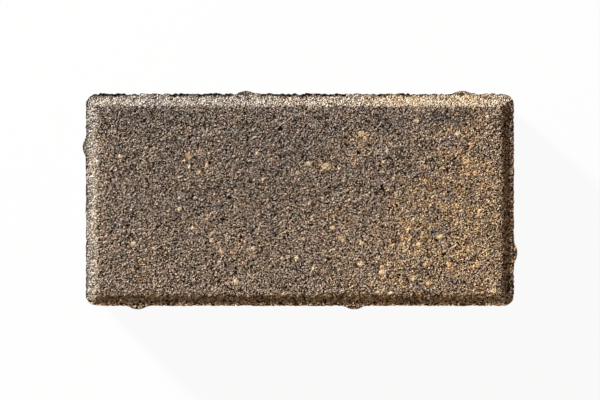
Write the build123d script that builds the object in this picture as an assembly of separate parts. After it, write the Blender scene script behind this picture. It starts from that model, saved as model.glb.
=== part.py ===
from build123d import *
import os

# Rectangular paver of pressed concrete, cast as one piece, in millimetres.
# The origin is the middle of the bed face, +X runs along the length and +Z up to the walking face.

# Block, without its nibs
length = 198.0
width = 98.0
height = 60.0
corner_radius = 5.0

# Top edge, from the side wall inwards: rim, chamfer, rounded crease of the walking face.
# The rim is the wedge of mix that rises between the mould wall and the press shoe.
rim_width = 1.1
rim_height = 0.8
rim_tip_width = 0.3
chamfer_width = 4.4
chamfer_depth = 3.2
face_corner_radius = 2.0
crease_radius = 3.0

# Spacer nibs, upright ribs that hold the joint open against the next paver.
# Those of opposite walls are set off from each other, so that two pavers never meet nib to nib.
nib_width = 8.0
nib_proud = 1.8
nib_root = 3.0
nib_flare_radius = 1.5
nib_edge_radius = 0.5
side_nib_offset = 25.0
side_nib_pitch = 100.0
end_nib_offset = 24.5

chamfer_foot = height - chamfer_depth
nib_radius = (nib_width**2 / 4 + nib_proud**2) / (2 * nib_proud)


def outline(inset, radius, level):
    """Plan outline of the block, set in from its side walls, at a level above the bed face."""
    return Pos(0, 0, level) * RectangleRounded(length - 2 * inset, width - 2 * inset, radius)


def block():
    """The straight-sided block up to the chamfer's foot, with the rim standing round its top."""
    foot = outline(rim_width, corner_radius - rim_width, chamfer_foot)
    mouth = outline(rim_tip_width, corner_radius - rim_tip_width, chamfer_foot + rim_height)
    rimmed = extrude(outline(0, corner_radius, 0), chamfer_foot + rim_height)
    return rimmed - loft([foot, mouth], ruled=True)


def crown():
    """The chamfered top inside the rim, with the crease of the walking face rounded over."""
    foot = outline(rim_width, corner_radius - rim_width, chamfer_foot)
    face = outline(rim_width + chamfer_width, face_corner_radius, height)
    raised = loft([foot, face], ruled=True)
    return fillet(raised.edges().group_by(Axis.Z)[-1], crease_radius)


def nib():
    """One rib with its tip at the origin, facing +Y: round in plan and flared where it leaves the wall."""
    bar = Pos(0, -nib_radius) * Circle(nib_radius)
    root = Pos(0, -nib_proud) * Rectangle(2 * nib_width, nib_root, align=(Align.CENTER, Align.MAX))
    on_wall = (bar + root).vertices().group_by(Axis.Y)[-1]
    inner_corners = on_wall.sort_by(lambda corner: abs(corner.X))[:2]
    plan = fillet(inner_corners, nib_flare_radius)
    rib = extrude(plan, chamfer_foot)
    top_edges = rib.edges().group_by(Axis.Z)[-1]
    outer_edges = top_edges.filter_by(lambda edge: edge.center().Y > -1.01 * nib_proud)
    return fillet(outer_edges, nib_edge_radius)


def nibs():
    """Two ribs on a long wall and one on an end wall, and the same three turned half round."""
    side_wall = width / 2 + nib_proud
    end_wall = -length / 2 - nib_proud
    half = [
        Pos(-side_nib_offset, side_wall, 0) * nib(),
        Pos(side_nib_pitch - side_nib_offset, side_wall, 0) * nib(),
        Pos(end_wall, end_nib_offset, 0) * Rot(0, 0, 90) * nib(),
    ]
    return half + [Rot(0, 0, 180) * rib for rib in half]


paver = block() + crown() + nibs()

os.makedirs("parts", exist_ok=True)
export_step(paver, "parts/paver.step")
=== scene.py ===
import math

import bmesh
import bpy
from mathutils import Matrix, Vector, noise


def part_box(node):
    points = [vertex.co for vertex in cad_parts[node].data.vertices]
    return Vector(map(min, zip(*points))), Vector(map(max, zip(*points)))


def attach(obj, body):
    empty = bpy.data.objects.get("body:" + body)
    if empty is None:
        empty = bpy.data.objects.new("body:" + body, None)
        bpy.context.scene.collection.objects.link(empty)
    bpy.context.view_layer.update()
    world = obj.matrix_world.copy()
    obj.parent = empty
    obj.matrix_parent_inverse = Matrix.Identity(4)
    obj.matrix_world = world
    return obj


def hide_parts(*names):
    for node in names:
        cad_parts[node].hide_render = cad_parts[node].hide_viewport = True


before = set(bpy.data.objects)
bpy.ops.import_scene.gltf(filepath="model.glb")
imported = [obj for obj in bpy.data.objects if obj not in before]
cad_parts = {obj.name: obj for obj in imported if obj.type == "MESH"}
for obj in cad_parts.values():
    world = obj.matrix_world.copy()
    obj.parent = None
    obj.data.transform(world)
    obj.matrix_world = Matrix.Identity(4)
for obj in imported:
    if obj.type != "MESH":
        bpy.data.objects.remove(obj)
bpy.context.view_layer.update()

# Sizes in metres; the block's own size comes from the frame. The nibs are one wide arc each, and the press
# shoe sat a little off the middle of the mould
MM = 0.001
nib_proud = 1.8 * MM
nib_width = 9.6 * MM
nib_flare = 0.5 * MM
corner_radius = 5.0 * MM
rim_width = 1.1 * MM
rim_tip_width = 0.05 * MM
rim_height = 0.8 * MM
chamfer_width = 4.4 * MM
chamfer_depth = 3.2 * MM
crease_rounding = 0.25 * MM
shoe_shift_x = -0.15 * MM
shoe_shift_y = -0.3 * MM
side_nibs = (-25.0 * MM, 75.0 * MM)
end_nib = 24.5 * MM

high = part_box("paver")[1]
half_length = high.x - nib_proud
half_width = high.y - nib_proud
height = high.z
chamfer_foot = height - chamfer_depth
face_edge = rim_width + chamfer_width
nib_radius = (nib_width**2 / 4 + nib_proud**2) / (2 * nib_proud)

# Fineness of the mesh: rows of the top counted in from the wall, then even ones, and rings down the wall
rim_rows = [0.0, 0.15 * MM, 0.3 * MM, 0.7 * MM, 1.1 * MM]
grid_pitch = 0.55 * MM
wall_rings = 22

# Grains of the mix, from grit to fines, and the uneven places among them
grit_size = 2.3 * MM
crumb_size = 2.1 * MM
sand_size = 0.85 * MM
fine_size = 0.34 * MM
# The pits are spots of painted shade with no hole in the mesh; the hollows are sunk and painted dark as well
shade_pit_size = 0.5 * MM
hollow_size = 2.6 * MM
chip_size = 1.1 * MM
rough_size = 0.9 * MM
wobble_size = 1.4 * MM
wobble_reach = 0.2 * MM

# Depth of the gaps between the grains, of the low waves over them, and of the finest roughness
face_relief = 0.5 * MM
wall_relief = 0.22 * MM
wave_size = 11 * MM
wave_share = 0.35
rough_depth = 1.5 * MM

# Patches of colour: swells of tone, shifts of hue, spots within a bloom and specks on the near and
# right-hand chamfers, which carry painted shade
tone_swell_size = 3.5 * MM
hue_size = 5 * MM
spot_size = 3.4 * MM
speck_size = 1.2 * MM
speck_strength = 1.3

# Wear: how far the outline swells and is bitten in along the top and the bed, how large the bites are and
# how far from the edge they reach, and the drag marks on the walls
edge_bite = 0.7 * MM
edge_swell = 0.12 * MM
bed_bite = 0.7 * MM
bite_size = 1.5 * MM
bite_run = 5 * MM
top_wear_reach = 2.5 * MM
bed_wear_reach = 3.0 * MM
drag_depth = 0.12 * MM
drag_size = 1.6 * MM
drag_grain_size = 1.3 * MM
worn_width = 2.2 * MM

# Rim: its share left on each wall, and the size of the breaks and nicks in it
far_rim = 0.75
near_rim = 0.15
right_rim = 0.15
left_rim = 0.2
break_size = 9 * MM
nick_size = 2.5 * MM
small_nick_size = 1.2 * MM

# Stretches of the far edge where the rim still stands, in millimetres along the length
rim_stretches = [(-96, -80), (-60, -51), (-48, -31), (-18, 21), (35, 40), (45, 51)]

# Blooms on the walking face: middle and reach in millimetres, then strength
ochre_blooms = [
    (77, 27, 11, 17, 0.55), (79, -24, 18, 20, 0.65), (58, 2, 16, 13, 0.5), (85, 1, 12, 13, 0.5),
    (42, -39, 15, 9, 0.45), (51, -18, 15, 10, 0.45), (12, 17, 7, 5, 0.4), (22, 23, 10, 12, 0.2),
    (29, 29, 4, 5, 0.5), (16, -23, 11, 10, 0.1), (14, -6, 9, 7, 0.25), (-72, -32, 5, 12, 0.4),
    (-51, 19, 6, 4, 0.4), (-32, -21, 10, 8, 0.2), (81, 47, 13, 4, 0.3),
]
slate_blooms = [
    (-74, 39, 21, 5, 1.0), (36, 36, 7, 6, 0.7), (69, 38, 12, 5, 1.0), (64, -15, 6, 4, 0.7),
    (46, 16, 10, 7, 0.4), (72, -30, 5, 4, 0.4), (-21, 32, 12, 6, 0.4), (-2, -30, 9, 6, 0.4),
    (2, 24, 26, 16, 0.2),
]
cream_blooms = [(50, 47, 17, 4, 1.2), (81, 47, 13, 4, 0.55), (8, 47, 24, 4, 0.3), (92, -48, 5, 2, 0.8)]
wash_blooms = [
    (75, -25, 55, 38, 1.05), (-20, -45, 95, 45, 0.7), (75, 30, 35, 25, 0.7),
    (93, 0, 6, 48, 1.0), (-92, 0, 5, 48, 0.6),
]

# What the washes, the chamfers with their painted light and shade, and the rim's painted shade do to the
# colour of the mix
wash_tint = Vector((1.37, 1.29, 1.17))
# Paler skin with painted light on the far and left chamfers, which face the lamp
pale_skin_and_painted_light_tint = Vector((1.82, 2.02, 2.16))
# Painted shade on the near chamfer, warm over a paler skin, and on the right-hand one, darker
near_skin_and_painted_shade_tint = Vector((1.70, 1.42, 1.15))
right_painted_shade_tint = Vector((1.10, 0.99, 0.98))
cream_tint = Vector((3.5, 3.2, 2.55))
# Painted shade in the groove behind the rim and along the near, right-hand and left edges
rim_shade_share = 0.7
near_rim_shade = 0.32
right_rim_shade = 0.58
left_rim_shade = 0.25

# Colours of the grains, each with its place on the scale of tones: the darkest, the brightest, then those
# between them
body_tones = [
    (0.10, (0.037, 0.019, 0.010)), (1.0, (0.79, 0.68, 0.595)),
    (0.35, (0.189, 0.133, 0.096)), (0.60, (0.373, 0.290, 0.227)),
]
ochre_tones = [
    (0.10, (0.096, 0.038, 0.008)), (1.0, (0.90, 0.73, 0.57)),
    (0.35, (0.350, 0.200, 0.088)), (0.60, (0.585, 0.410, 0.258)),
]
slate_cast = (0.68, 0.72, 0.77)
# Near-black of the painted shade in pits and hollows
pit_shade_colour = (0.012, 0.005, 0.0015, 1.0)
brightest_grain = (0.95, 0.87, 0.74)

# Pebbles that show in the face: middle and half width and half length in millimetres, then colour
cream = (0.66, 0.52, 0.36)
pale_grey = (0.54, 0.46, 0.37)
tan = (0.58, 0.42, 0.26)
orange = (0.50, 0.34, 0.20)
pink = (0.58, 0.43, 0.32)
pebbles = [
    (-83, 20, 1.3, 1.0, cream), (-51.5, 20, 1.2, 1.8, orange), (-93.5, 18, 1.2, 0.9, pale_grey),
    (-46.5, 12.5, 1.4, 1.0, tan), (-43, 16, 0.9, 1.2, tan), (-19.5, 21.5, 1.1, 0.9, pink),
    (4, 16.5, 1.5, 1.2, cream), (-1, 12.5, 1.0, 1.0, tan), (28.5, 30.5, 1.7, 1.4, tan),
    (30, 28.5, 0.9, 0.8, orange), (40, 23, 0.9, 1.7, pale_grey), (12, 15.5, 2.0, 1.6, tan),
    (13, 14.5, 1.0, 0.9, orange), (53.5, 36.5, 1.1, 1.0, tan), (73, 30.5, 1.3, 1.2, cream),
    (79, 26, 1.3, 1.1, orange), (77.5, 18, 1.2, 1.4, orange), (81, 12.5, 1.2, 1.2, orange),
    (38.5, 17.5, 0.8, 0.7, cream), (-29.5, -37.5, 0.9, 1.7, cream), (-21.5, -22.5, 1.2, 1.0, pink),
    (-41, -18.5, 1.0, 1.0, cream), (-77, -20.5, 1.2, 1.2, pink), (-55.5, -4, 1.0, 1.0, cream),
    (-49.5, -13, 1.0, 0.9, cream), (-36.5, -24, 1.0, 1.1, tan), (-1.5, -27, 1.2, 1.0, cream),
    (28, -29.5, 1.2, 1.2, cream), (28.5, -20, 1.0, 1.0, cream), (38, -33.5, 1.5, 1.2, cream),
    (38, -31, 1.2, 1.0, orange), (58.5, -29.5, 1.5, 1.3, orange), (55, -20.5, 1.2, 1.0, tan),
    (48.5, -23, 1.2, 1.2, tan), (18.5, -17.5, 1.2, 1.0, orange), (89.5, -42, 1.6, 1.3, cream),
    (82, -29.5, 1.2, 1.0, tan), (59.5, -38.5, 1.2, 1.2, orange), (6, -31.5, 1.0, 0.9, cream),
    (36, -42.5, 1.2, 0.9, cream), (42, -43, 1.3, 0.9, cream),
    (20, -19, 1.1, 0.9, tan), (15, -13, 1.3, 1.0, tan), (47, -17, 1.2, 1.0, orange),
    (65, -17, 1.3, 1.1, tan), (69, -29.5, 1.5, 1.0, orange), (52, -36, 1.2, 1.0, tan),
]


def smooth_step(low_edge, high_edge, value):
    """0 below the low edge, 1 above the high edge and a smooth climb between them."""
    share = min(max((value - low_edge) / (high_edge - low_edge), 0.0), 1.0)
    return share * share * (3 - 2 * share)


def soft_less(a, b, rounding):
    """The lesser of two heights, with the corner between them rounded."""
    gap = a - b
    return 0.5 * (a + b - math.sqrt(gap * gap + rounding * rounding))


def soft_more(a, b, rounding):
    """The greater of two heights, with the corner between them rounded."""
    return -soft_less(-a, -b, rounding)


def ripple(x, y, z, size):
    """Smooth noise between about -1 and 1, with swells of one size."""
    return noise.noise(Vector((x, y, z)) / size)


# Paver: shape


def inset_at(x, y):
    """Distance in from the side walls, before the corners are rounded."""
    return min(half_length - abs(x), half_width - abs(y))


def row_place(share, rows, half_span):
    """Place of a row of the grid across the top: close set on the rim, and even inside it."""
    row = round((1 - abs(share)) * rows)
    inner = row - len(rim_rows) + 1
    if inner < 0:
        inset = rim_rows[row]
    else:
        inset = rim_width + (half_span - rim_width) * inner / (rows - len(rim_rows) + 1)
    return math.copysign(half_span - inset, share)


def rounded_plan(x, y):
    """Draws the square corners of the plan into quarter discs."""
    centre_x = half_length - corner_radius
    centre_y = half_width - corner_radius
    out_x = abs(x) - centre_x
    out_y = abs(y) - centre_y
    if min(out_x, out_y) <= 0:
        return x, y
    share = max(out_x, out_y) / math.hypot(out_x, out_y)
    return math.copysign(centre_x + out_x * share, x), math.copysign(centre_y + out_y * share, y)


def outward(x, y, reach=corner_radius):
    """Direction straight out of the nearest wall, or nothing at a point farther in than the reach."""
    out_x = max(abs(x) - half_length + reach, 0.0)
    out_y = max(abs(y) - half_width + reach, 0.0)
    return Vector((math.copysign(out_x, x), math.copysign(out_y, y), 0.0)).normalized()


def wall_shares(x, y):
    """Shares of the near, right and left walls at a point by the edge; the rest is the far wall's."""
    out = outward(x, y, face_edge + 1.5 * MM)
    near = out.y**2 if out.y < 0 else 0.0
    right = out.x**2 if out.x > 0 else 0.0
    left = out.x**2 if out.x < 0 else 0.0
    return near, right, left


def rim_stands(x):
    """1 along the stretches of the far edge where the rim still stands, 0 between them."""
    along = x / MM
    return max(smooth_step(start - 1, start + 1, along) - smooth_step(end - 1, end + 1, along)
               for start, end in rim_stretches)


def rim_share(x, y):
    """How much of the rim is left at a point of the edge: in stretches at the far wall, low elsewhere."""
    near, right, left = wall_shares(x, y)
    far = 1 - near - right - left
    nicks = 0.6 * ripple(x, y, 0.8, nick_size) + 0.4 * ripple(x, y, 0.5, small_nick_size)
    worn = smooth_step(-0.15, 0.15, ripple(x, y, 0.3, break_size) + nicks)
    standing = rim_stands(x) * smooth_step(-0.5, -0.1, nicks)
    return far_rim * far * standing + (near_rim * near + right_rim * right + left_rim * left) * worn


def edge_height(inset, shoe_inset, rim):
    """Level of the top, by distance in from the wall and from the shoe's outline: rim, chamfer, crease."""
    climb = (shoe_inset - rim_width) * chamfer_depth / chamfer_width
    chamfer = soft_less(chamfer_foot + climb, height, 2 * crease_rounding)
    if inset >= worn_width:
        return chamfer
    worn_top = (worn_width - rim_width) * chamfer_depth / chamfer_width
    worn = chamfer_foot + max(worn_top * inset / worn_width, 0.03 * MM)
    wedge = rim_height * min((rim_width - inset) / (rim_width - rim_tip_width), 1.0)
    whole = chamfer_foot + wedge if inset < rim_width else chamfer
    return rim * whole + (1 - rim) * worn


def top_point(x, y):
    """A point of the clean top surface."""
    shoe_inset = inset_at(x - shoe_shift_x, y - shoe_shift_y)
    plan_x, plan_y = rounded_plan(x, y)
    level = edge_height(inset_at(x, y), shoe_inset, rim_share(plan_x, plan_y))
    return Vector((plan_x, plan_y, level))


def nib_bulge(along):
    """How far a nib stands out of the wall at a distance along it from the nib's middle."""
    if abs(along) >= nib_radius:
        return 0.0
    arc = math.sqrt(nib_radius**2 - along**2) - (nib_radius - nib_proud)
    return min(soft_more(arc, 0.0, nib_flare), nib_proud)


def nib_push(x, y):
    """Vector by which the nibs push the wall out at a point of the plan outline."""
    push_x = push_y = 0.0
    if abs(y) > half_width - 0.5 * corner_radius:
        turned = math.copysign(1.0, y)
        push_y = turned * max(nib_bulge(turned * x - middle) for middle in side_nibs)
    if abs(x) > half_length - 0.5 * corner_radius:
        turned = -math.copysign(1.0, x)
        push_x = -turned * nib_bulge(turned * y - end_nib)
    return Vector((push_x, push_y, 0.0))


def wall_levels():
    """Levels of the wall's rings from the top down, with the nibs' share at each."""
    levels = [(chamfer_foot, 0.0), (chamfer_foot - 0.02 * MM, 0.45), (chamfer_foot - 0.10 * MM, 0.8),
              (chamfer_foot - 0.45 * MM, 0.97)]
    start = chamfer_foot - 1.2 * MM
    return levels + [(start * (1 - ring / wall_rings), 1.0) for ring in range(wall_rings + 1)]


def edge_wear(place):
    """Bites out of the top arris and the bed's edge, and upright drag marks on the walls between them."""
    x, y, z = place
    near_top = smooth_step(chamfer_foot - top_wear_reach, chamfer_foot, z)
    near_bed = 1 - smooth_step(0.0, bed_wear_reach, z)
    bites = 0.35 + 1.0 * ripple(x, y, z, bite_size) + 0.4 * ripple(x, y, z, bite_run)
    bites = min(max(bites, 0.0), 1.0)
    marks = 0.5 + 0.5 * ripple(x, y, 0.02 * z, drag_size)
    near, right, left = wall_shares(x, y)
    ragged = edge_bite * (1.25 - 0.7 * near - 0.7 * right - 0.5 * left)
    on_nib = smooth_step(0.0, 0.6 * MM, max(abs(x) - half_length, abs(y) - half_width))
    swell = (edge_swell + 0.42 * ragged) * (1 - on_nib)
    depth = near_top * (ragged * bites * (1 - 0.7 * on_nib) - swell) + near_bed * bed_bite * bites
    depth += drag_depth * marks * (1 - near_top)
    inset = max(inset_at(x, y), 0.0)
    return -outward(x, y) * depth * (1 - smooth_step(0.0, worn_width, inset))


def paver_blank():
    """The clean paver: a fine grid shaped as the top, with its outer edge drawn down into the walls."""
    bm = bmesh.new()
    half_columns = round((half_length - rim_width) / grid_pitch) + len(rim_rows) - 1
    half_rows = round((half_width - rim_width) / grid_pitch) + len(rim_rows) - 1
    bmesh.ops.create_grid(bm, x_segments=2 * half_columns, y_segments=2 * half_rows, size=1.0)
    for vert in bm.verts:
        x = row_place(vert.co.x, half_columns, half_length)
        y = row_place(vert.co.y, half_rows, half_width)
        vert.co = top_point(x, y)
    ring = [edge for edge in bm.edges if edge.is_boundary]
    for edge in ring:
        edge.smooth = False
    rings = []
    for level, nib_share in wall_levels():
        drawn = bmesh.ops.extrude_edge_only(bm, edges=ring)["geom"]
        ring = [part for part in drawn if isinstance(part, bmesh.types.BMEdge) and part.is_boundary]
        verts = [part for part in drawn if isinstance(part, bmesh.types.BMVert)]
        for vert in verts:
            vert.co.z = level
        rings.append((verts, nib_share))
    for verts, nib_share in rings:
        for vert in verts:
            vert.co += nib_share * nib_push(vert.co.x, vert.co.y)
    bed = bmesh.ops.edgeloop_fill(bm, edges=ring)["faces"]
    bmesh.ops.recalc_face_normals(bm, faces=bm.faces)
    for vert in bm.verts:
        vert.co += edge_wear(vert.co)
    for face in bm.faces:
        face.smooth = True
    for face in bed:
        face.smooth = False
    mesh = bpy.data.meshes.new("paver_cast")
    bm.to_mesh(mesh)
    bm.free()
    return mesh


# Paver: what each point of the mesh keeps for its relief and finish


def store(mesh, name, kind, field, values):
    """Keeps a number or a colour for each vertex of a mesh under a name."""
    kept = mesh.attributes.new(name, kind, "POINT")
    kept.data.foreach_set(field, values)


def on_top(place):
    """Whether a point lies on the top surface and not on a wall or the bed."""
    return place.z > chamfer_foot + 0.01 * MM


def relief_depth(place):
    """Depth of the relief at a point: full on the top, less on the walls, none on the bed."""
    if on_top(place):
        return face_relief
    return wall_relief * smooth_step(0.0, 2 * MM, place.z)


def bloom_share(place, blooms):
    """Strength at one point of a set of soft-edged blooms."""
    x, y = place.x / MM, place.y / MM
    total = 0.0
    for middle_x, middle_y, reach_x, reach_y, strength in blooms:
        off = ((x - middle_x) / reach_x) ** 2 + ((y - middle_y) / reach_y) ** 2
        if off < 6:
            total += strength * math.exp(-off)
    return min(total, 1.3)


def chamfer_share(place):
    """1 on the chamfer and where the rim is gone, 0 on the face, the rim and the walls."""
    inset = inset_at(place.x, place.y)
    outer = max(smooth_step(0.5 * rim_width, 1.2 * rim_width, inset), 1 - rim_share(place.x, place.y))
    fade = (1 + 3 * wall_shares(place.x, place.y)[2]) * MM
    return outer * (1 - smooth_step(face_edge - 0.6 * fade, face_edge + 0.4 * fade, inset)) * on_top(place)


def rim_painted_shade(place):
    """How much painted shade darkens the groove behind the rim, and the edges along the near and right-hand
    walls, a little along the left.
    """
    near, right, left = wall_shares(place.x, place.y)
    band = 1 - smooth_step(0.5 * rim_width, 1.1 * rim_width, inset_at(place.x, place.y))
    behind_rim = 1.5 * rim_share(place.x, place.y)
    return on_top(place) * band * max(behind_rim, near_rim_shade * near, right_rim_shade * right, left_rim_shade * left)


def tint_and_painted_light_at(place):
    """Tint of the mix at a point: washes on the face, chamfers paler with painted light on the far and left
    sides and with painted shade on the near and right-hand sides, painted shade at the rim.
    """
    plain = Vector((1.0, 1.0, 1.0))
    near, right, left = wall_shares(place.x, place.y)
    # Lit and shaded copies of the chamfer: painted light on the far and left sides, painted shade on the
    # near and right-hand ones
    edge = near * near_skin_and_painted_shade_tint + right * right_painted_shade_tint + (1 - near - right - 0.12 * left) * pale_skin_and_painted_light_tint
    edge = edge.lerp(cream_tint, bloom_share(place, cream_blooms))
    wash = plain.lerp(wash_tint, bloom_share(place, wash_blooms))
    speck = 1 + speck_strength * (near + right) * ripple(place.x, place.y, place.z, speck_size)
    # The last factor paints shade into the groove behind the rim and along the near, right-hand and left
    # edges
    return wash * plain.lerp(edge * speck, chamfer_share(place)) * (1 - rim_shade_share * rim_painted_shade(place))


def pebble_at(place):
    """The nearest pebble's height, 1 on its crown and 0 at its rim, and its colour."""
    x, y = place.x / MM, place.y / MM
    best = -1.0
    colour = cream
    if on_top(place):
        for middle_x, middle_y, half_x, half_y, tint in pebbles:
            if abs(x - middle_x) < 4 and abs(y - middle_y) < 4:
                lift = 1 - ((x - middle_x) / half_x) ** 2 - ((y - middle_y) / half_y) ** 2
                if lift > best:
                    best = lift
                    colour = tint
    return best, colour


def keep_finish(mesh):
    """Works out and stores what the relief and the material read."""
    places = [vert.co.copy() for vert in mesh.vertices]
    found = [pebble_at(place) for place in places]
    stone_colours = [part for lift, colour in found for part in colour]
    store(mesh, "relief_depth", "FLOAT", "value", [relief_depth(place) for place in places])
    store(mesh, "ochre", "FLOAT", "value", [bloom_share(place, ochre_blooms) for place in places])
    store(mesh, "slate", "FLOAT", "value", [bloom_share(place, slate_blooms) for place in places])
    # The tint carries the chamfers' painted light and shade and the rim's painted shade
    store(mesh, "tint", "FLOAT_VECTOR", "vector", [part for place in places for part in tint_and_painted_light_at(place)])
    store(mesh, "wall", "FLOAT", "value", [0.0 if on_top(place) else 1.0 for place in places])
    store(mesh, "pebble", "FLOAT", "value", [lift for lift, colour in found])
    store(mesh, "pebble_tint", "FLOAT_VECTOR", "vector", stone_colours)


# Nodes


class Chain:
    """Adds nodes to one tree and joins them; a value may be a number, a tuple or another node's socket."""

    def __init__(self, tree):
        self.tree = tree

    def add(self, kind, inputs=(), **settings):
        node = self.tree.nodes.new(kind)
        for name, value in settings.items():
            setattr(node, name, value)
        for name, value in dict(inputs).items():
            if isinstance(value, bpy.types.NodeSocket):
                self.tree.links.new(value, node.inputs[name])
            else:
                node.inputs[name].default_value = value
        return node

    def math(self, operation, *values, clamp=False):
        inputs = dict(enumerate(values))
        return self.add("ShaderNodeMath", inputs, operation=operation, use_clamp=clamp).outputs[0]

    def sum(self, *weighted):
        """Sum of values, each given with its weight."""
        total = None
        for value, weight in weighted:
            part = self.math("MULTIPLY", value, weight)
            total = part if total is None else self.math("ADD", total, part)
        return total

    def vector(self, operation, *values):
        inputs = dict(enumerate(values))
        return self.add("ShaderNodeVectorMath", inputs, operation=operation).outputs[0]

    def scale(self, vector, factor):
        node = self.add("ShaderNodeVectorMath", {0: vector, "Scale": factor}, operation="SCALE")
        return node.outputs[0]

    def ramp(self, value, start, end, least=0.0, most=1.0):
        inputs = {"Value": value, "From Min": start, "From Max": end, "To Min": least, "To Max": most}
        return self.add("ShaderNodeMapRange", inputs, interpolation_type="SMOOTHSTEP").outputs[0]

    def line(self, value, start, end, least=0.0, most=1.0):
        inputs = {"Value": value, "From Min": start, "From Max": end, "To Min": least, "To Max": most}
        return self.add("ShaderNodeMapRange", inputs).outputs[0]

    def tones(self, value, stops):
        """Colour read from a scale of stops, each a place from 0 to 1 and a colour."""
        node = self.add("ShaderNodeValToRGB", {0: value})
        elements = node.color_ramp.elements
        for index, (place, colour) in enumerate(stops):
            element = elements[index] if index < 2 else elements.new(place)
            element.position = place
            element.color = (*colour, 1.0)
        return node.outputs[0]

    def mix(self, share, a, b):
        node = self.add("ShaderNodeMix", {0: share, 6: a, 7: b}, data_type="RGBA")
        return node.outputs[2]

    def noise(self, place, size, detail=2.0, roughness=0.5):
        inputs = {"Vector": place, "Scale": 1 / size, "Detail": detail, "Roughness": roughness}
        return self.add("ShaderNodeTexNoise", inputs)

    def cells(self, place, size):
        return self.add("ShaderNodeTexVoronoi", {"Vector": place, "Scale": 1 / size})

    def parts(self, vector):
        return self.add("ShaderNodeSeparateXYZ", {0: vector}).outputs


def bent_place(chain, place):
    """The place, pushed about a little so that the grains are not all of one shape."""
    wobble = chain.noise(place, wobble_size, 1.0).outputs["Color"]
    push = chain.scale(chain.vector("SUBTRACT", wobble, (0.5, 0.5, 0.5)), wobble_reach)
    return chain.vector("ADD", place, push)


def grain_layer(chain, place, size, reach):
    """Rounded grains of one size: height, 1 on a crown and 0 in a gap, and a random vector per grain."""
    cells = chain.cells(place, size)
    spread = chain.math("DIVIDE", cells.outputs["Distance"], reach)
    dome = chain.math("SUBTRACT", 1.0, chain.math("MULTIPLY", spread, spread), clamp=True)
    return dome, chain.parts(cells.outputs["Color"])


def grain_heights(chain, bent, pebble):
    """Height of grit, sand and pebbles less the hollows, the hollows, and a random vector per sand grain."""
    grit, grit_random = grain_layer(chain, bent, grit_size, 0.62)
    sand, sand_random = grain_layer(chain, bent, sand_size, 0.78)
    grit_part = chain.math("MULTIPLY", grit, chain.ramp(grit_random[0], 0.85, 0.9))
    sand_part = chain.math("MULTIPLY", sand, chain.line(sand_random[0], 0.0, 1.0, 0.1, 0.95))
    crown = chain.math("MAXIMUM", grit_part, sand_part)
    crown = chain.math("MAXIMUM", crown, chain.ramp(pebble, -0.3, 0.4, 0.0, 0.75))
    hollow = chain.ramp(chain.noise(bent, hollow_size, 1.0).outputs[0], 0.69, 0.77)
    return chain.math("SUBTRACT", crown, hollow), hollow, sand_random


def cast_relief(paver):
    """Sinks the gaps between the grains into the clean shape and keeps where each point was cast."""
    tree = bpy.data.node_groups.new("cast_relief", "GeometryNodeTree")
    tree.interface.new_socket("Geometry", in_out="INPUT", socket_type="NodeSocketGeometry")
    tree.interface.new_socket("Geometry", in_out="OUTPUT", socket_type="NodeSocketGeometry")
    chain = Chain(tree)
    place = chain.add("GeometryNodeInputPosition").outputs[0]
    depth = chain.add("GeometryNodeInputNamedAttribute", {"Name": "relief_depth"}).outputs[0]
    pebble = chain.add("GeometryNodeInputNamedAttribute", {"Name": "pebble"}).outputs[0]
    normal = chain.add("GeometryNodeInputNormal").outputs[0]
    crown = grain_heights(chain, bent_place(chain, place), pebble)[0]
    waves = chain.noise(place, wave_size, 2.0).outputs[0]
    sunk = chain.math("SUBTRACT", crown, 1.0)
    sunk = chain.math("SUBTRACT", sunk, chain.ramp(waves, 0.35, 0.75, 0.0, wave_share))
    offset = chain.scale(normal, chain.math("MULTIPLY", sunk, depth))
    start = chain.add("NodeGroupInput").outputs[0]
    cast_at = {"Geometry": start, "Name": "cast_at", "Value": place}
    kept = chain.add("GeometryNodeStoreNamedAttribute", cast_at, data_type="FLOAT_VECTOR", domain="POINT")
    moved = chain.add("GeometryNodeSetPosition", {"Geometry": kept.outputs[0], "Offset": offset})
    chain.add("NodeGroupOutput", {0: moved.outputs[0]})
    modifier = paver.modifiers.new("relief", "NODES")
    modifier.node_group = tree
    shaped = paver.evaluated_get(bpy.context.evaluated_depsgraph_get())
    mesh = bpy.data.meshes.new_from_object(shaped)
    paver.modifiers.clear()
    paver.data = mesh
    bpy.data.node_groups.remove(tree)


# Paver: finish


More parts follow.
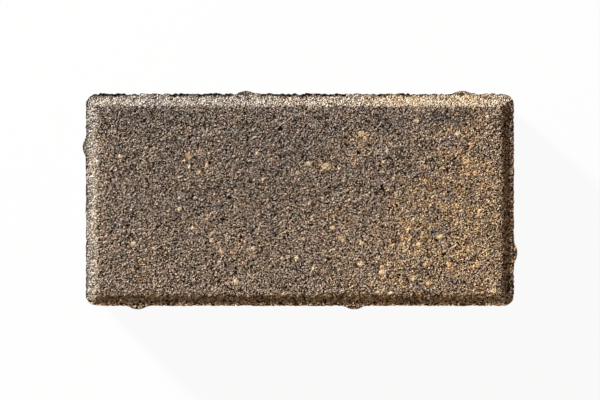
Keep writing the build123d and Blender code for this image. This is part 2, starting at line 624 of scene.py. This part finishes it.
def concrete():
    """Open-grained concrete: greyish crowns of sand over gaps, pits and hollows darkened warm with painted
    shade, with blooms of ochre and slate.
    """
    material = bpy.data.materials.new("concrete_cast")
    material.use_nodes = True
    tree = material.node_tree
    tree.nodes.clear()
    chain = Chain(tree)

    def kept(name, socket="Fac"):
        return chain.add("ShaderNodeAttribute", attribute_name=name).outputs[socket]

    place = kept("cast_at", "Vector")
    tint = kept("tint", "Vector")
    bent = bent_place(chain, place)
    crown, hollow, sand_random = grain_heights(chain, bent, kept("pebble"))
    fine_random = grain_layer(chain, bent, fine_size, 0.75)[1]
    shade_pit_random = grain_layer(chain, bent, shade_pit_size, 0.75)[1]
    swell = chain.noise(place, tone_swell_size, 3.0).outputs[0]

    # Tone of each grain, lower in the gaps between the crowns as painted shade, and its colour in the plain
    # mix, in ochre and in slate
    tone = chain.sum((fine_random[1], 0.86), (sand_random[1], 0.04), (chain.ramp(crown, 0.0, 0.4), 0.12))
    tone = chain.math("ADD", tone, chain.line(swell, 0.2, 0.8, -0.06, -0.02))
    body = chain.tones(tone, body_tones)
    ochre_body = chain.tones(tone, ochre_tones)
    slate_body = chain.vector("MULTIPLY", body, slate_cast)

    # Mottle: shifts of hue, pale and dark crumbs, and drag marks on the walls
    hue = chain.parts(chain.noise(place, hue_size, 3.0, 0.6).outputs["Color"])
    redder = chain.scale((1.2, 0.8, 0.6), chain.math("SUBTRACT", hue[0], 0.5))
    yellower = chain.scale((0.3, 0.25, -0.2), chain.math("SUBTRACT", hue[1], 0.5))
    crumb, crumb_random = grain_layer(chain, bent, crumb_size, 0.62)
    in_ochre = chain.line(kept("ochre"), 0.0, 0.6, 0.3, 1.0)
    crumb = chain.math("MULTIPLY", chain.ramp(crumb, 0.2, 0.6), in_ochre)
    pale_crumb = chain.math("MULTIPLY", crumb, chain.ramp(crumb_random[1], 0.70, 0.76))
    dark_crumb = chain.math("MULTIPLY", crumb, chain.ramp(crumb_random[1], 0.22, 0.28, 1.0, 0.0))
    mottle = chain.vector("ADD", chain.vector("ADD", redder, yellower), (1, 1, 1))
    mottle = chain.vector("ADD", mottle, chain.scale((0.42, 0.35, 0.24), pale_crumb))
    mottle = chain.vector("SUBTRACT", mottle, chain.scale((0.24, 0.21, 0.17), dark_crumb))
    upright = chain.vector("MULTIPLY", place, (1.0, 1.0, 0.05))
    drag = chain.noise(upright, drag_grain_size, 2.0).outputs[0]
    drag = chain.math("MULTIPLY", chain.line(drag, 0.3, 0.7, -0.3, 0.3), kept("wall"))
    mottle = chain.scale(mottle, chain.math("ADD", drag, 1.0))

    # Blooms, and pits and hollows filled with painted shade, less of it on the pale lit chamfers
    spots = chain.ramp(chain.noise(place, spot_size, 2.0).outputs[0], 0.40, 0.64)
    ochre = chain.math("MULTIPLY", kept("ochre"), chain.line(spots, 0.0, 1.0, 0.25, 2.1))
    slate = chain.math("MULTIPLY", kept("slate"), chain.line(spots, 0.0, 1.0, 1.3, 0.6))
    bloom = chain.mix(slate, chain.mix(ochre, body, ochre_body), slate_body)
    pit_shade = chain.math("MAXIMUM", chain.ramp(shade_pit_random[0], 0.26, 0.31, 1.0, 0.0), hollow)
    on_pale_lit_chamfer = chain.ramp(chain.parts(tint)[2], 1.4, 1.9, 1.0, 0.82)
    pit_shade = chain.math("MULTIPLY", pit_shade, on_pale_lit_chamfer)
    bloom = chain.mix(pit_shade, bloom, pit_shade_colour)
    tinted = chain.vector("MULTIPLY", chain.vector("MULTIPLY", bloom, mottle), tint)
    tinted = chain.vector("MINIMUM", tinted, brightest_grain)

    # Pebbles, with chipped outlines
    chipped = chain.line(chain.noise(place, chip_size, 1.0).outputs[0], 0.3, 0.7, -0.45, 0.6)
    pebble = chain.ramp(chain.math("ADD", kept("pebble"), chipped), -0.4, 0.4)
    stone = chain.vector("MULTIPLY", kept("pebble_tint", "Vector"), tint)
    stone = chain.scale(stone, chain.line(tone, 0.1, 0.9, 0.6, 1.5))
    # Pebbles take the painted shade of the pits and hollows too
    stone = chain.scale(stone, chain.line(pit_shade, 0.0, 1.0, 1.0, 0.65))
    colour = chain.mix(pebble, tinted, stone)

    rough = chain.noise(place, rough_size, 2.0, 0.6).outputs[0]
    rough = chain.math("MULTIPLY", rough, chain.line(pebble, 0.0, 1.0, 1.25, 0.6))
    relief = chain.sum((crown, 0.6), (rough, 1.0), (drag, 1.0))
    bump = chain.add("ShaderNodeBump", {"Strength": 1.0, "Distance": rough_depth, "Height": relief})
    shader = chain.add("ShaderNodeBsdfPrincipled", {"Base Color": colour, "Roughness": 0.95,
                                                   "Specular IOR Level": 0.15, "Normal": bump.outputs[0]})
    chain.add("ShaderNodeOutputMaterial", {"Surface": shader.outputs[0]})
    return material


def make_paver():
    """The whole cast piece, in place of its plain solid."""
    mesh = paver_blank()
    keep_finish(mesh)
    paver = bpy.data.objects.new("paver_cast", mesh)
    bpy.context.scene.collection.objects.link(paver)
    cast_relief(paver)
    paver.data.materials.append(concrete())
    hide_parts("paver")
    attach(paver, "root")


# Stage: floor, light and camera


def make_floor():
    """A white floor that shows a faint shadow, a little below the bed so that the two never coincide."""
    floor_gap = 0.1 * MM
    bm = bmesh.new()
    bmesh.ops.create_grid(bm, x_segments=1, y_segments=1, size=4.0)
    for vert in bm.verts:
        vert.co.z = -floor_gap
    mesh = bpy.data.meshes.new("floor")
    bm.to_mesh(mesh)
    bm.free()
    floor = bpy.data.objects.new("floor", mesh)
    bpy.context.scene.collection.objects.link(floor)
    material = bpy.data.materials.new("floor_white")
    material.use_nodes = True
    material.node_tree.nodes.clear()
    chain = Chain(material.node_tree)
    ray = chain.add("ShaderNodeLightPath").outputs
    seen = chain.math("MAXIMUM", ray["Is Camera Ray"], ray["Is Glossy Ray"])
    seen = chain.math("MAXIMUM", seen, ray["Is Transmission Ray"])
    matt = chain.add("ShaderNodeBsdfDiffuse", {"Color": (0.82, 0.82, 0.82, 1)})
    glow = chain.add("ShaderNodeEmission", {"Color": (1, 1, 1, 1), "Strength": 1.0})
    share = chain.math("MULTIPLY", seen, 0.94)
    mixed = chain.add("ShaderNodeMixShader", {0: share, 1: matt.outputs[0], 2: glow.outputs[0]})
    chain.add("ShaderNodeOutputMaterial", {"Surface": mixed.outputs[0]})
    mesh.materials.append(material)


def make_light():
    """A soft key from the upper left of the face, and an even fill from all round."""
    to_key = Vector((-0.74, 0.70, 0.51)).normalized()
    reach = 2.5
    lamp = bpy.data.lights.new("key", "AREA")
    lamp.shape = "DISK"
    lamp.size = 0.35
    lamp.energy = 115.0
    key = bpy.data.objects.new("key", lamp)
    key.location = to_key * reach
    key.rotation_euler = to_key.to_track_quat("Z", "Y").to_euler()
    bpy.context.scene.collection.objects.link(key)
    world = bpy.data.worlds.new("studio")
    world.use_nodes = True
    world.node_tree.nodes.clear()
    chain = Chain(world.node_tree)
    ray = chain.add("ShaderNodeLightPath").outputs
    fill = chain.add("ShaderNodeBackground", {"Color": (1.0, 0.83, 0.66, 1), "Strength": 0.22})
    white = chain.add("ShaderNodeBackground", {"Color": (1, 1, 1, 1), "Strength": 1.0})
    seen = ray["Is Camera Ray"]
    mixed = chain.add("ShaderNodeMixShader", {0: seen, 1: fill.outputs[0], 2: white.outputs[0]})
    chain.add("ShaderNodeOutputWorld", {"Surface": mixed.outputs[0]})
    bpy.context.scene.world = world


def make_camera():
    """Straight above the walking face, at the photograph's scale."""
    photo_width = 600
    paver_pixels = 428
    pixel = 2 * half_length / paver_pixels
    distance = 1.5
    lens = bpy.data.cameras.new("above")
    lens.sensor_width = 36.0
    lens.lens = lens.sensor_width * distance / (pixel * photo_width)
    lens.clip_end = 20.0
    camera = bpy.data.objects.new("above", lens)
    camera.location = (0.0, 0.0, chamfer_foot + distance)
    bpy.context.scene.collection.objects.link(camera)
    bpy.context.scene.camera = camera


make_paver()
make_floor()
make_light()
make_camera()
bpy.context.scene.view_settings.view_transform = "Standard"
